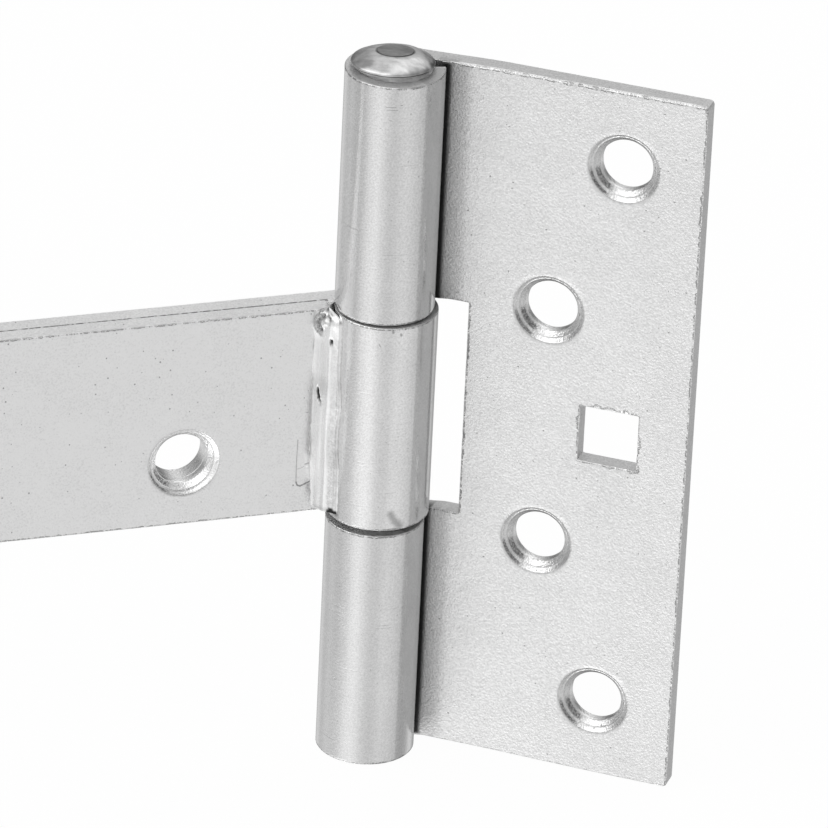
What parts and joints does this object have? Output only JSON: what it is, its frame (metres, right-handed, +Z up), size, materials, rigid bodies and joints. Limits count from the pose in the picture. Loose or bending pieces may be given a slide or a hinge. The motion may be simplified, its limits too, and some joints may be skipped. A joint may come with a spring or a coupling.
{
  "type": "tee hinge",
  "caption": "Tee hinge with a notched leaf rolled into barrels, a riveted pin, and a long laminated arm whose welded eye turns on the pin.",
  "frame": {"origin": "on the pin's axis, at mid height of the leaf", "axes": "+Z up the pin, +X from the pin across the leaf, +Y towards the surface that the leaf is fixed to"},
  "size_m": [0.207, 0.1226, 0.102],
  "materials": {
    "plated_sheet": "bright zinc-plated sheet steel, satin, with fine pits",
    "plated_pin": "bright zinc-plated steel, formed head",
    "plated_weld": "zinc-plated weld metal, glossy and uneven"
  },
  "bodies": {
    "leaf_body": {"leaf": "plated_sheet", "hinge_pin": "plated_pin"},
    "arm_body": {"strap": "plated_sheet", "doubler": "plated_sheet", "weld_bead": "plated_weld"}
  },
  "joints": [
    {"name": "arm_swing", "type": "hinge", "parent": "leaf_body", "child": "arm_body", "pos_m": [0, 0, 0], "axis": [0, 0, 1], "range_deg": [-147, 150]}
  ]
}
